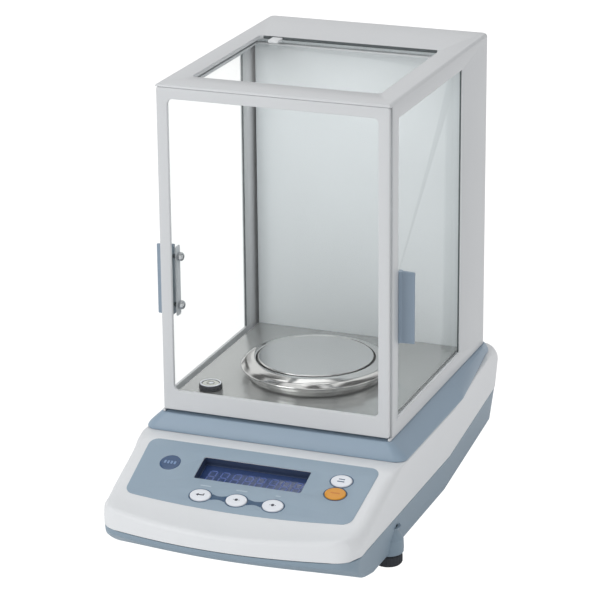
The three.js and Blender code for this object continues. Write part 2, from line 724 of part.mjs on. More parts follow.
function buildChamber() {
  const plate = cut(
    box(-FLOOR_HALF, FLOOR_HALF, -77.5, BACK_PANEL_Y - GAP, FLOOR_TOP - 1.1, FLOOR_TOP),
    rod(12, 90, 120, 0, PAN_Y),
  );
  add("floor_plate", plate, STEEL());

  // Draught ring: a foot, a thin flange and a rounded lip that surrounds the pan.
  const seat = FLOOR_TOP + GAP;
  const ring = [
    [48.5, seat],
    [53.6, seat],
    [54.4, seat + 0.8],
    [54.4, seat + 3.4],
    [52.8, seat + 4.2],
    [52.8, seat + 6.6],
    [53.4, seat + 7.2],
    [56.4, seat + 8.2],
    [57.6, seat + 10.2],
    [56.8, seat + 12.4],
    [54, seat + 13.8],
    [49, seat + 14.4],
    [46, seat + 13.8],
    [46, seat + 12],
    [48.5, seat + 11],
    [48.5, seat],
  ];
  add("draught_ring", turned(ring, 0, PAN_Y, FINE_SEGMENTS), STEEL());

  // Weighing pan: a thin disc on a hub that drops over the load receiver's spigot.
  const disc = [
    [0, 116.6],
    [4.1, 116.6],
    [4.1, 112.4],
    [9, 112.4],
    [9, PAN_TOP - 3],
    [40, PAN_TOP - 2.4],
    [PAN_RADIUS, PAN_TOP - 1.6],
    [PAN_RADIUS, PAN_TOP - 0.5],
    [PAN_RADIUS - 0.6, PAN_TOP],
    [0, PAN_TOP],
  ];
  add("weighing_pan", turned(disc, 0, PAN_Y, FINE_SEGMENTS), STEEL());

  const { x, y, radius } = LEVEL;
  const cup = [
    [0, seat],
    [radius, seat],
    [radius, seat + 3.9],
    [radius - 0.5, seat + 4.3],
    [radius - 1.3, seat + 4.3],
    [radius - 1.3, seat + 2.4],
    [0, seat + 2.4],
  ];
  add("level_vial_housing", turned(cup, x, y), BLACK_PLASTIC());
  const lens = [
    [0, seat + 2.7],
    [radius - 1.6, seat + 2.7],
    [radius - 1.6, seat + 3.9],
    [radius - 4, seat + 4.4],
    [0, seat + 4.6],
  ];
  add("level_vial_lens", turned(lens, x, y), GLASS());
}

buildBase();
buildWorks();
buildPanel();
buildFeet();
buildShield();
buildDoors();
buildChamber();

export default group;
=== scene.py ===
"""An analytical balance: a console base, a glass draught shield and a round weighing pan.

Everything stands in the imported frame: metres, +Z up, the console faces -Y. Lengths in
the helpers below are in millimetres where their name or comment says so.
"""
import json
from math import cos, pi, radians, sin, tan

import bmesh
import bpy
from mathutils import Matrix, Vector


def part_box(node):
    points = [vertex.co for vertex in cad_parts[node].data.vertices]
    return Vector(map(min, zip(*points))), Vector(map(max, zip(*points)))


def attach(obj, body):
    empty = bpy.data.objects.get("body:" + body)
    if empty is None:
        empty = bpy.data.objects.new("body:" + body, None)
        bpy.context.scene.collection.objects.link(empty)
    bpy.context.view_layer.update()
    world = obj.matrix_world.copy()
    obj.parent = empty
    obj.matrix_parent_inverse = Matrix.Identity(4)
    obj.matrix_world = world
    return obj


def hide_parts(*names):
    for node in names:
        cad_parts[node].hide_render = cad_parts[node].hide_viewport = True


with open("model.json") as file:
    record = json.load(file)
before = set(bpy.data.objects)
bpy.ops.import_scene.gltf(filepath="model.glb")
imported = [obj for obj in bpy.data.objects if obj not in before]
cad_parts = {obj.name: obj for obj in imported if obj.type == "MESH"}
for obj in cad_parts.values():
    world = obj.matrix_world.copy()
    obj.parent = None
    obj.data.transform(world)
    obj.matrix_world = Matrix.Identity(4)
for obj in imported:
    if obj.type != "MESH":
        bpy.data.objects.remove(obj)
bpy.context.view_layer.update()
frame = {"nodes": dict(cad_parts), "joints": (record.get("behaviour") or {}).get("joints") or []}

scene = bpy.context.scene
MM = 0.001
ARC_STEPS = 6
SIDES = (("left", -1), ("right", 1))


# ---- what the frame says ----

def span(node):
    """Lowest and highest corner of a CAD node, in millimetres."""
    low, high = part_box(node)
    return low / MM, high / MM


def panel_frame():
    """The console panel: +x to the right, +y up the slope, +z out of it, from its top edge."""
    press = next(j for j in frame["joints"] if j["name"] == "lower_left_key_press")
    normal = -Vector(press["axis"]).normalized()
    uphill = normal.cross(Vector((1, 0, 0)))
    overlay_thickness = 0.6
    high = span("keypad_overlay")[1]
    origin = Vector((0, high.y + overlay_thickness * normal.y, high.z))
    turn = Matrix((Vector((1, 0, 0)), uphill, normal)).transposed().to_4x4()
    return Matrix.Translation(origin) @ turn


PANEL = panel_frame()


def panel_span(node):
    """Lowest and highest corner of a CAD node in the panel's own axes, in millimetres."""
    back = PANEL.inverted()
    points = [back @ (v.co / MM) for v in frame["nodes"][node].data.vertices]
    return [Vector([pick(values) for values in zip(*points)]) for pick in (min, max)]


# ---- outlines, as lists of (x, y) in millimetres ----

NEARLY_STRAIGHT = 0.01


def turn_corner(before, corner, after, radius, steps):
    """The arc that replaces one corner of an outline."""
    before, corner, after = Vector(before), Vector(corner), Vector(after)
    a = (before - corner).normalized()
    b = (after - corner).normalized()
    half = a.angle(b) / 2
    if radius <= 0:
        return [tuple(corner)]
    if half > pi / 2 - NEARLY_STRAIGHT:
        return [tuple(corner)] * (steps + 1)
    reach = radius / tan(half)
    centre = corner + (a + b).normalized() * (radius / sin(half))
    start = corner + a * reach - centre
    side = 1 if a.x * b.y - a.y * b.x < 0 else -1
    sweep = side * (pi - 2 * half)
    arc = []
    for t in (sweep * i / steps for i in range(steps + 1)):
        x = centre.x + cos(t) * start.x - sin(t) * start.y
        arc.append((x, centre.y + sin(t) * start.x + cos(t) * start.y))
    return arc


def rounded(points, radius, steps=ARC_STEPS):
    """A closed outline with its corners rounded; radius is one number or one per corner."""
    radii = radius if isinstance(radius, (list, tuple)) else [radius] * len(points)
    result = []
    for i, corner in enumerate(points):
        after = points[(i + 1) % len(points)]
        result += turn_corner(points[i - 1], corner, after, radii[i], steps)
    return result


def softened(points, radius, steps=4):
    """An open line with its inner corners rounded."""
    result = [tuple(points[0])]
    for i in range(1, len(points) - 1):
        before, corner, after = (Vector(p) for p in points[i - 1:i + 2])
        room = min((before - corner).length, (after - corner).length)
        half = (before - corner).angle(after - corner) / 2
        fitting = min(radius, 0.48 * room * tan(half))
        result += turn_corner(before, corner, after, fitting, steps)
    return result + [tuple(points[-1])]


def rect(x0, x1, y0, y1, radius, steps=ARC_STEPS):
    return rounded([(x0, y0), (x1, y0), (x1, y1), (x0, y1)], radius, steps)


def around(low, high, gap, radius):
    """The upright view of a box from above, grown by a gap."""
    return rect(low.x - gap, high.x + gap, low.y - gap, high.y + gap, radius)


def oval(x, y, rx, ry, steps=64):
    turn = [2 * pi * i / steps for i in range(steps)]
    return [(x + rx * cos(a), y + ry * sin(a)) for a in turn]


def quarter(steps):
    """How far over and how far down each step of a quarter turn stands from its outer corner."""
    turn = [pi / 2 * i / steps for i in range(steps + 1)]
    return [(1 - cos(a), 1 - sin(a)) for a in turn]


def mirrored(side, level, steps):
    """A section: one side, straight across at a level, and the other side."""
    half = side[-1][0]
    across = [(half * (1 - 2 * i / steps), level) for i in range(1, steps)]
    return side + across + [(-x, z) for x, z in reversed(side)]


# ---- meshes, in millimetres until they become pieces ----

# Where a flat outline lies: facing up, facing the front, facing right.
FACING_FRONT = Matrix(((1, 0, 0, 0), (0, 0, -1, 0), (0, 1, 0, 0), (0, 0, 0, 1)))
FACING_RIGHT = Matrix(((0, 0, 1, 0), (1, 0, 0, 0), (0, 1, 0, 0), (0, 0, 0, 1)))
TURNS = (FACING_RIGHT, FACING_FRONT, None)

COINCIDENT = 1e-4
KNIFE_EDGE = 0.01  # how far a cutter's edges are rounded
GAP = 0.3  # between a part and the opening it sits in


def placed(name, data):
    """A new object in the scene that shows the data."""
    made = bpy.data.objects.new(name, data)
    scene.collection.objects.link(made)
    return made


def taken_from(holder):
    """The holder's evaluated mesh; the holder goes away."""
    graph = bpy.context.evaluated_depsgraph_get()
    mesh = bpy.data.meshes.new_from_object(holder.evaluated_get(graph))
    bpy.data.objects.remove(holder)
    return mesh


def weld(mesh):
    """Coincident points joined and faces turned outwards."""
    work = bmesh.new()
    work.from_mesh(mesh)
    bmesh.ops.remove_doubles(work, verts=work.verts, dist=COINCIDENT)
    bmesh.ops.recalc_face_normals(work, faces=work.faces)
    work.to_mesh(mesh)
    work.free()
    return mesh


def plate(loops, low, high, edge=0.3, rounds=2):
    """A flat piece with holes: outlines raised from low to high, with rounded edges."""
    curve = bpy.data.curves.new("outline", "CURVE")
    curve.dimensions = "2D"
    curve.fill_mode = "BOTH"
    curve.extrude = (high - low) / 2 - edge
    curve.bevel_depth = edge
    curve.bevel_resolution = rounds
    curve.offset = -edge
    for loop in loops:
        spline = curve.splines.new("POLY")
        spline.points.add(len(loop) - 1)
        for point, (x, y) in zip(spline.points, loop):
            point.co = (x, y, 0, 1)
        spline.use_cyclic_u = True
    mesh = taken_from(placed("outline", curve))
    bpy.data.curves.remove(curve)
    mesh.materials.clear()
    mesh.transform(Matrix.Translation((0, 0, (low + high) / 2)))
    return weld(mesh)


def from_faces(points, faces):
    mesh = bpy.data.meshes.new("shape")
    mesh.from_pydata(points, [], faces)
    return weld(mesh)


def loft(rings):
    """Closed rings of equal length joined in order, with both ends closed."""
    count = len(rings[0])
    last = (len(rings) - 1) * count
    faces = []
    for low in range(0, last, count):
        for i in range(count):
            j = (i + 1) % count
            faces.append((low + i, low + j, low + count + j, low + count + i))
    faces += [tuple(range(count - 1, -1, -1)), tuple(range(last, last + count))]
    return from_faces([p for ring in rings for p in ring], faces)


def lathe(profile, x=0.0, y=0.0, steps=96, closed=True):
    """A line of (radius, height) turned about the upright axis at (x, y)."""
    points, faces = [], []
    for c, s in oval(0, 0, 1, 1, steps):
        points += [(x + r * c, y + r * s, z) for r, z in profile]
    count = len(profile)
    for i in range(steps):
        a, b = i * count, ((i + 1) % steps) * count
        for k in range(count if closed else count - 1):
            n = (k + 1) % count
            faces.append((a + k, b + k, b + n, a + n))
    return from_faces(points, faces)


def slab(low, high, thin, radius, edge=0.3, rounds=2, holes=()):
    """A plate that fills a box, thin along x (0), y (1) or z (2), before its turn from TURNS."""
    a, b = (i for i in range(3) if i != thin)
    ends = (-high.y, -low.y) if thin == 1 else (low[thin], high[thin])
    return plate([rect(low[a], high[a], low[b], high[b], radius), *holes], *ends, edge, rounds)


def merged(*meshes):
    """Several meshes as one."""
    work = bmesh.new()
    for mesh in meshes:
        work.from_mesh(mesh)
    result = bpy.data.meshes.new("shape")
    work.to_mesh(result)
    work.free()
    return result


def moved(mesh, matrix):
    mesh.transform(matrix)
    return mesh


def block(x0, x1, y0, y1, z0, z1, edge=0.5, corner=None):
    """An upright block with rounded edges."""
    return plate([rect(x0, x1, y0, y1, edge if corner is None else corner)], z0, z1, edge)


def knife(x0, x1, y0, y1, z0, z1):
    """A sharp-edged block to cut with."""
    return block(x0, x1, y0, y1, z0, z1, KNIFE_EDGE)


def with_modifier(mesh, kind, **settings):
    holder = placed("holder", mesh)
    modifier = holder.modifiers.new("modifier", kind)
    for key, value in settings.items():
        setattr(modifier, key, value)
    return taken_from(holder)


def cut(mesh, *cutters):
    """The mesh with solid cutters taken away."""
    for cutter in cutters:
        tool = placed("knife", cutter)
        mesh = with_modifier(mesh, "BOOLEAN", operation="DIFFERENCE", solver="EXACT", object=tool)
        bpy.data.objects.remove(tool)
    return mesh


def piece(name, mesh, finish, slot, body="base", replaces=(), angle=32, matrix=None):
    """Places a mesh as a visible piece that rides on a body."""
    mesh.transform(Matrix.Scale(MM, 4) @ (matrix or Matrix.Identity(4)))
    mesh.materials.clear()
    for material in finish if isinstance(finish, list) else [finish]:
        mesh.materials.append(material)
    mesh.shade_smooth()
    mesh.set_sharp_from_angle(angle=radians(angle))
    mesh.name = name
    obj = placed(name, mesh)
    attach(obj, body)
    if replaces:
        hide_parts(*replaces)


# ---- materials ----

def blank(name):
    """A new material and its empty node tree."""
    material = bpy.data.materials.new(name)
    material.use_nodes = True
    material.node_tree.nodes.clear()
    return material, material.node_tree


def add(tree, kind, sockets=None, **settings):
    """A shader node's outputs; each socket takes a value or another node's output."""
    made = tree.nodes.new("ShaderNode" + kind)
    for key, value in settings.items():
        setattr(made, key, value)
    for key, value in (sockets or {}).items():
        socket = made.inputs[key]
        if isinstance(value, bpy.types.NodeSocket):
            tree.links.new(value, socket)
        else:
            socket.default_value = value
    return made.outputs


def srgb(colour):
    """A colour given as it shows on screen, 0 to 255, as linear light."""
    shares = [value / 255 for value in colour]
    return [v / 12.92 if v <= 0.04045 else ((v + 0.055) / 1.055) ** 2.4 for v in shares]


def noise(tree, scale, detail, stretch=(1, 1, 1)):
    """Three-dimensional noise over the object's own coordinates; scale is per metre."""
    place = add(tree, "TexCoord")["Object"]
    spot = add(tree, "Mapping", {"Vector": place, "Scale": stretch})["Vector"]
    return add(tree, "TexNoise", {"Vector": spot, "Scale": scale, "Detail": detail})["Fac"]


def ranged(tree, value, low, high, start=0.0, end=1.0):
    """The value, start to end, mapped to low to high."""
    sockets = {"Value": value, "From Min": start, "From Max": end, "To Min": low, "To Max": high}
    return add(tree, "MapRange", sockets)["Result"]


def tinted(tree, value, colour, spread):
    """The colour, a little darker and lighter with the value."""
    dark = (*[c * (1 - spread) for c in colour], 1)
    light = (*[min(1, c * (1 + spread)) for c in colour], 1)
    return add(tree, "Mix", {"Factor": value, "A": dark, "B": light}, data_type="RGBA")["Result"]


def relief(tree, height, strength, depth):
    """Bumps that follow a height; depth is in millimetres."""
    sockets = {"Height": height, "Strength": strength, "Distance": depth * MM}
    return add(tree, "Bump", sockets)["Normal"]


def mixed(tree, share, first, second):
    """Two shaders mixed; share is how much there is of the second."""
    return add(tree, "MixShader", {"Fac": share, 1: first, 2: second})["Shader"]


def surface(
    name, colour, roughness, metallic=0.0, spread=0.02, grain=2600, bump=0.02, coat=0.0,
    stretch=(1, 1, 1), vary=0.03,
):
    """A solid finish in a colour as shown on screen: slow drift, fine grain in roughness and relief."""
    material, tree = blank(name)
    fine = noise(tree, grain, 2, stretch)
    sockets = {
        "Base Color": tinted(tree, noise(tree, 22, 3), srgb(colour), spread),
        "Roughness": ranged(tree, fine, max(0.02, roughness - vary), roughness + vary),
        "Metallic": metallic, "Coat Weight": coat, "Coat Roughness": 0.12,
    }
    if bump:
        sockets["Normal"] = relief(tree, fine, bump, 0.1)
    add(tree, "OutputMaterial", {"Surface": add(tree, "BsdfPrincipled", sockets)["BSDF"]})
    return material


def turned_metal(name, colour, roughness, rings, bump):
    """Metal turned on a lathe: fine rings about the pan's axis."""
    material, tree = blank(name)
    place = add(tree, "TexCoord")["Object"]
    to_axis = (-PAN_AXIS[0] * MM, -PAN_AXIS[1] * MM, 0)
    spot = add(tree, "Mapping", {"Vector": place, "Location": to_axis})["Vector"]
    wave = add(
        tree, "TexWave", {"Vector": spot, "Scale": rings, "Distortion": 1.5, "Detail": 3},
        wave_type="RINGS", rings_direction="Z",
    )["Fac"]
    sockets = {
        "Metallic": 1,
        "Base Color": tinted(tree, noise(tree, 40, 3), srgb(colour), 0.02),
        "Roughness": ranged(tree, wave, roughness * 0.8, roughness * 1.2),
        "Normal": relief(tree, wave, bump, 0.05),
    }
    add(tree, "OutputMaterial", {"Surface": add(tree, "BsdfPrincipled", sockets)["BSDF"]})
    return material


def clear_glass(name, tint):
    """A thin pane: light passes straight through, with a mirror gloss that grows at the rim."""
    material, tree = blank(name)
    facing = add(tree, "LayerWeight", {"Blend": 0.5})["Facing"]
    steep = add(tree, "Math", {0: facing, 1: 5.0}, operation="POWER")["Value"]
    through = add(tree, "BsdfTransparent", {"Color": tinted(tree, noise(tree, 30, 3), tint, 0.004)})
    mirror = add(tree, "BsdfGlossy", {"Color": (0.9, 0.9, 0.9, 1), "Roughness": 0.02})
    share = ranged(tree, steep, 0.012, 0.2)
    pane_shader = mixed(tree, share, through["BSDF"], mirror["BSDF"])
    add(tree, "OutputMaterial", {"Surface": pane_shader})
    return material


PAN_AXIS = (0.0, sum(v.y for v in span("weighing_pan")) / 2)

WHITE = surface("white_moulding", (222, 224, 226), 0.42, grain=3200, bump=0.05)
PAINT = surface("light_grey_paint", (205, 207, 209), 0.4, grain=1800, bump=0.03, coat=0.1)
WALL_PAINT = surface("chamber_paint", (214, 219, 221), 0.42, grain=1500, bump=0)
BLUE = surface("blue_grey_moulding", (132, 150, 164), 0.45, grain=3000, bump=0.05)
PLINTH = surface("plinth_moulding", (141, 160, 177), 0.4, grain=3000, bump=0.04)
OVERLAY = surface("membrane", (146, 164, 179), 0.36, spread=0.015, grain=4200, bump=0.03)
PRINT_BLUE = surface("printed_blue", (62, 88, 116), 0.4, grain=4200)
PRINT_PALE = surface("printed_pale", (176, 190, 200), 0.4, grain=4200)
PRINT_DARK = surface("printed_dark", (40, 44, 60), 0.4, grain=4200)
PRINT_BROWN = surface("printed_brown", (200, 120, 40), 0.4, grain=4200)
KEY_WHITE = surface("key_white", (228, 231, 237), 0.3, grain=4000, coat=0.2)
KEY_ORANGE = surface("key_orange", (216, 148, 44), 0.3, grain=4000, coat=0.2)
BADGE = surface("badge_blue", (48, 78, 116), 0.25, grain=3000, coat=0.4)
BADGE_MARK = surface("badge_mark", (120, 146, 182), 0.3, grain=3000)
RECESS = surface("recess_black", (50, 64, 92), 0.45, grain=3000, bump=0.03)
FILTER = surface("display_filter", (48, 68, 112), 0.16, spread=0.06, grain=900, bump=0, coat=0.5)
SEGMENT = surface("display_segment", (84, 104, 168), 0.2, grain=900, bump=0)
STEEL_PAN = turned_metal("satin_steel_pan", (214, 214, 214), 0.1, 900, 0.02)
CHROME = turned_metal("polished_steel_ring", (212, 211, 210), 0.1, 700, 0.03)
STEEL_FLOOR = surface(
    "satin_steel_floor", (184, 186, 185), 0.26, metallic=0.6, spread=0.01,
    grain=900, bump=0.004, stretch=(0.12, 3, 1), vary=0.02,
)
BRIGHT = surface("bright_screw", (205, 207, 210), 0.16, metallic=1, grain=2500)
DULL_STEEL = surface("plated_steel", (176, 178, 180), 0.35, metallic=1, grain=1500, bump=0.05)
ALUMINIUM = surface(
    "milled_aluminium", (190, 192, 194), 0.36, metallic=1, grain=900, bump=0.06,
    stretch=(0.2, 4, 1), vary=0.06,
)
BRASS = surface("turned_brass", (196, 164, 96), 0.3, metallic=1, grain=1500, bump=0.04)
RUBBER = surface("foot_rubber", (52, 55, 61), 0.75, grain=2200, bump=0.12)
BLACK = surface("black_moulding", (48, 51, 56), 0.5, grain=2600, bump=0.06)
BOARD = surface("circuit_board", (46, 100, 62), 0.45, spread=0.12, grain=500, bump=0.04)
HANDLE = surface("handle_blue", (136, 152, 168), 0.4, grain=2800, bump=0.04)
GREY = surface("grey_moulding", (196, 200, 204), 0.45, grain=2600, bump=0.04)
# Painted shade: a mid grey that stands for the shadow in the door slots and under the roof's rear edge.
PAINTED_SLOT_SHADE = surface("slot_shadow", (78, 84, 86), 0.6, grain=1500)
VIAL = surface("vial_liquid", (196, 198, 188), 0.1, grain=600, bump=0, coat=0.6)
GLASS = clear_glass("float_glass", (0.992, 0.996, 0.994))
GLASS_EDGE = surface("glass_edge", (84, 104, 100), 0.12, spread=0.1, grain=500, bump=0, coat=0.6)


# ---- base ----

tray_low, tray_high = span("base_tray")
house_low, house_high = span("upper_housing")
plinth_low, plinth_high = span("plinth_cover")
FRONT_Y, REAR_Y = house_low.y, house_high.y
HALF = house_high.x
SEAM_Z = tray_high.z + GAP
TOP_Z = house_high.z
RIDGE_ROUND = 4.0  # where the front face turns into the slope
RIDGE_Y = FRONT_Y + RIDGE_ROUND
REAR_ROUND = 17.0
LIP_REAR = -167.0  # where the slope flattens into the front lip
LIP_RAISE = 4.4
CORNER = 16.0
REAR_CORNER = 13.0
SQUARENESS = 2.3  # a higher power makes the plan's corners squarer
FRONT_BOW = 10.8  # how far the front's middle stands ahead of its corners
TAPER_START = 30.0
REAR_HALF = HALF - 11.6
LEAN = 0.09  # the housing's sides lean out by this much for each unit of height
TRAY_LEAN = 0.136
SLOPE = tan(PANEL.to_euler().x)
SLOPE_END = PANEL.translation.y
FLAT_FROM = SLOPE_END + 12
FLOOR_Z = tray_low.z


def around_corner(half, radius, lag):
    """The half width part of the way round a corner, where lag runs from 0 to 1."""
    return half - radius + radius * (1 - min(1, lag) ** SQUARENESS) ** (1 / SQUARENESS)


def half_width(y):
    """Half the width of the base's top at y, before the front's bow."""
    rear_start = REAR_Y - REAR_CORNER
    if y < FRONT_Y + CORNER:
        return around_corner(HALF, CORNER, (FRONT_Y + CORNER - y) / CORNER)
    if y < TAPER_START:
        return HALF
    if y < rear_start:
        return HALF - (HALF - REAR_HALF) * (y - TAPER_START) / (rear_start - TAPER_START)
    return around_corner(REAR_HALF, REAR_CORNER, (y - rear_start) / REAR_CORNER)


def side_x(y, z):
    """Where the base's side stands at y and height z."""
    if z < SEAM_Z:
        return half_width(y) - LEAN * (TOP_Z - SEAM_Z) - TRAY_LEAN * (SEAM_Z - z)
    return half_width(y) - LEAN * (TOP_Z - z)


def bow_shift(x, y):
    """How far back a point stands because the front edge swells forward in the middle."""
    fade = min(1, max(0, (FRONT_Y + 46 - y) / 36))
    return FRONT_BOW * (x / (HALF - CORNER)) ** 2 * fade


def slope_z(y):
    """The console's height at y on the middle line, with the front lip."""
    lip = LIP_RAISE * (max(0, LIP_REAR - y) / (LIP_REAR - RIDGE_Y)) ** 2
    return PANEL.translation.z - (SLOPE_END - y) * SLOPE + lip


def housing_rows():
    """Rows from front to rear: y, height of the top surface, how much the slope lifts it."""
    ridge_z = slope_z(RIDGE_Y)
    heights = [SEAM_Z + up for up in (0.15, 1.2, 3.5)] + [ridge_z - RIDGE_ROUND - 1]
    face = [(FRONT_Y, z) for z in heights]
    face += [(FRONT_Y + RIDGE_ROUND * over, ridge_z - RIDGE_ROUND * down) for over, down in quarter(8)]
    rows = [(y, z, (z - SEAM_Z) / (ridge_z - SEAM_Z)) for y, z in face]
    slope_rows = 12
    for i in range(1, slope_rows + 1):
        y = RIDGE_Y + (SLOPE_END - RIDGE_Y) * (1 - (1 - i / slope_rows) ** 1.5)
        rows.append((y, slope_z(y), 1))
    slope_top = PANEL.translation.z
    for y in (-99.5, -96, -92, -84, -60, -30, 0, TAPER_START, 40, 65, 90, 115, 140, 158):
        if y > SLOPE_END + 1:
            rise = sin(pi / 2 * min(1, (y - SLOPE_END) / (FLAT_FROM - SLOPE_END)))
            rows.append((y, slope_top + (TOP_Z - slope_top) * rise, 0))
    rows += [(REAR_Y - REAR_ROUND * down, TOP_Z - REAR_ROUND * over, 0) for over, down in quarter(12)]
    return rows


def housing_section(y, top):
    """The housing's skin across x at one row, from the right seam over to the left one."""
    tall = top - SEAM_Z
    under_plinth = min(1, max(0, (y - SLOPE_END + 9) / 20))
    behind = min(1, max(0, (y - 146) / 40))
    soft = min(7.5 - 6.0 * under_plinth + 12 * behind, 0.6 * tall)
    seam_x = side_x(y, SEAM_Z)
    side = [(seam_x - 0.9, SEAM_Z), (seam_x - 0.25, SEAM_Z + min(0.5, 0.05 * tall))]
    for share in (0.08, 0.3, 0.6, 0.85):
        z = SEAM_Z + share * (tall - soft)
        side.append((side_x(y, z), z))
    edge = side_x(y, top - soft)
    side += [(edge - soft * over, top - soft * down) for over, down in quarter(8)]
    return mirrored(side, top, 24)


def housing_row(y, top, climb):
    """One row with the front's bow: where it stands back, it stands higher up the slope."""
    row = []
    for x, z in housing_section(y, top):
        back = bow_shift(x, y)
        lift = back * SLOPE * climb * (z - SEAM_Z) / (top - SEAM_Z)
        row.append((x, y + back, z + lift))
    return row


def build_housing():
    """The white housing with openings for display, keys and ports, and a free middle."""
    inside, above = -12, 4
    knives = [moved(plate([hole], inside, above, KNIFE_EDGE), PANEL) for hole in console_holes(1.5)]
    gap = 0.4
    for port in ("serial_port", "power_inlet"):
        low, high = span(port)
        knives.append(knife(low.x - gap, high.x + gap, low.y - 2, REAR_Y + 5, low.z - gap, high.z + gap))
    plinth_middle = knife(-62, 62, -60, 132, 41, 90)
    solid = loft([housing_row(*row) for row in housing_rows()])
    housing = cut(solid, merged(*knives), plinth_middle)
    piece("housing_shell", housing, WHITE, "white_shell", replaces=["upper_housing"])


def chin_rows():
    """The tray's underside from front to rear: (y, height), curving up under the front."""
    rim = tray_high.z
    rows = [(FRONT_Y, rim - drop) for drop in (0.15, 0.8, 2)] + [(FRONT_Y + 0.2, FLOOR_Z + 26.2)]
    ends = ((FRONT_Y + 1, FLOOR_Z + 25.2), (FRONT_Y + 22.5, FLOOR_Z + 9.5), (FRONT_Y + 66, FLOOR_Z))
    for t in (i / 14 for i in range(15)):
        rows.append(tuple((1 - t) ** 2 * a + 2 * t * (1 - t) * b + t * t * c for a, b, c in zip(*ends)))
    rows += [(y, FLOOR_Z) for y in (-110, -80, -50, -20, 5, TAPER_START, 60, 90, 120, 150, 172)]
    rows += [(REAR_Y - 9 * down, FLOOR_Z + 10 * over) for over, down in quarter(7)]
    return rows + [(REAR_Y, rim - 1.5), (REAR_Y - 0.4, rim - 0.4), (REAR_Y - 1.2, rim - 0.15)]


def tray_row(y, bottom):
    """The tray's skin at one row, from the right rim under to the left one."""
    rim = tray_high.z
    tall = rim - bottom
    soft = min(4.0, 0.6 * tall)
    inset = 0.5
    side = [(side_x(y, rim) - 1.2, rim), (side_x(y, rim) - 0.55, rim - min(0.5, 0.3 * tall))]
    for share in (0.35, 0.7):
        z = rim - share * (tall - soft)
        side.append((side_x(y, z) - inset, z))
    wall = side_x(y, bottom + soft) - inset
    side += [(wall - soft * over, bottom + soft * down) for over, down in quarter(6)]
    return [(x, y + bow_shift(x, y), z) for x, z in mirrored(side, bottom, 16)]


def build_tray():
    """The blue tray: sides that carry on the housing's, a chin, and the front feet's bosses."""
    stud_holes = []
    feet = ["front_left_levelling_foot", "front_right_levelling_foot", "rear_left_foot", "rear_right_foot"]
    for name in feet:
        low, high = span(name)
        x, y = (low + high).xy / 2
        if name.startswith("front"):
            stud_holes.append(plate([oval(x, y, 6.8, 6.8)], FLOOR_Z - 5, 36, KNIFE_EDGE))
            build_boss(name.replace("_levelling_foot", "_boss"), x, y)
        build_foot(name, x, y, high.z - low.z)
    tray = cut(loft([tray_row(*row) for row in chin_rows()]), *stud_holes)
    piece("tray_shell", tray, BLUE, "blue_shell", replaces=["base_tray"])


def build_boss(name, x, y):
    """A boss over a front foot, with a neck that runs up into the tray's side."""
    radius, bore, seat, top = 11.7, 7.2, FLOOR_Z + 0.05, 30
    neck = side_x(y, top) - 1.2 - abs(x)
    line = [
        (bore, seat), (radius - 0.2, seat), (radius, seat + 4), (radius - 0.3, seat + 11),
        (neck, top), (bore, top),
    ]
    boss = lathe(rounded(line, [0.8, 1.0, 3, 4, 2, 0.3], 4), x, y, 72)
    piece(name, boss, BLUE, "blue_shell")


def build_foot(name, x, y, tall):
    """A black foot with a dished sole and its stud; a levelling foot has a ribbed rim too."""
    radius, top = 10.5, 8.8
    line = [
        (0, 0.9), (6.5, 0.9), (7.4, 0), (radius - 1.1, 0), (radius, 1.2), (radius, top - 1.4),
        (radius - 1.2, top), (6.4, top),
    ]
    body, ribs = "base", []
    if name.startswith("front"):
        body = name.replace("_levelling_foot", "_foot")
        line += [(3.9, top), (3.9, tall - 0.6), (3.3, tall), (0, tall)]
        for cx, cy in oval(x, y, radius - 0.25, radius - 0.25, 24):
            ribs.append(plate([oval(cx, cy, 0.55, 0.55, 10)], 1.6, top - 1.8, 0.2))
    else:
        line += [(6.4, tall - 0.5), (5.9, tall), (0, tall)]
    foot = merged(lathe(softened(line, 0.6), x, y, 72, closed=False), *ribs)
    piece(name + "_body", foot, RUBBER, "rubber", body=body, replaces=[name])


def build_plinth():
    """The blue plinth that flares from the draught shield out to the housing."""
    low, high = plinth_low, plinth_high
    shield_low, shield_high = span("shield_base_frame")
    narrow_from, rear_slant = 50, 12

    def ring(z, share):
        """Share is 0 at the lower rim and 1 at the upper one."""
        def between(a, b):
            return a + (b - a) * share
        side = between(low.x, shield_low.x - 1.0)
        rear_side = between(-90, shield_low.x - 1.0)
        front = between(low.y, shield_low.y - 1.3)
        rear = between(high.y, shield_high.y + 1.5)
        corners = [
            (side, front), (-side, front), (-side, narrow_from), (-rear_side, rear - rear_slant),
            (-rear_side, rear), (rear_side, rear), (rear_side, rear - rear_slant), (side, narrow_from),
        ]
        soft = between(9, 5)
        outline = rounded(corners, [soft, soft, 60, 20, soft, soft, 20, 60], 8)
        return [(x, y, z) for x, y in outline]

    tall = high.z - low.z
    shares = [
        (0.0, 0.02), (0.03, 0.0), (0.08, 0.005), (0.16, 0.05), (0.3, 0.16), (0.5, 0.37), (0.7, 0.61),
        (0.84, 0.79), (0.92, 0.89), (0.97, 0.96), (0.995, 1.02), (1.0, 1.1),
    ]
    rings = [ring(low.z + tall * height, share) for height, share in shares]
    plinth = cut(loft(rings), knife(-34, 34, -34, 40, low.z - 5, high.z + 5))
    piece("plinth_shell", plinth, PLINTH, "blue_shell", replaces=["plinth_cover"])


# ---- console ----

KEYS = {
    "lower_left_key": "key_lower_left", "lower_middle_key": "key_lower_middle",
    "lower_right_key": "key_lower_right", "upper_right_key": "key_upper_right",
    "orange_right_key": "key_orange",
}
FILM = 0.35  # how far the printed membrane stands over the housing
INK = 0.05  # how far a print stands over the membrane


def on_panel(name, mesh, finish, slot, **more):
    piece(name, mesh, finish, slot, matrix=PANEL, **more)


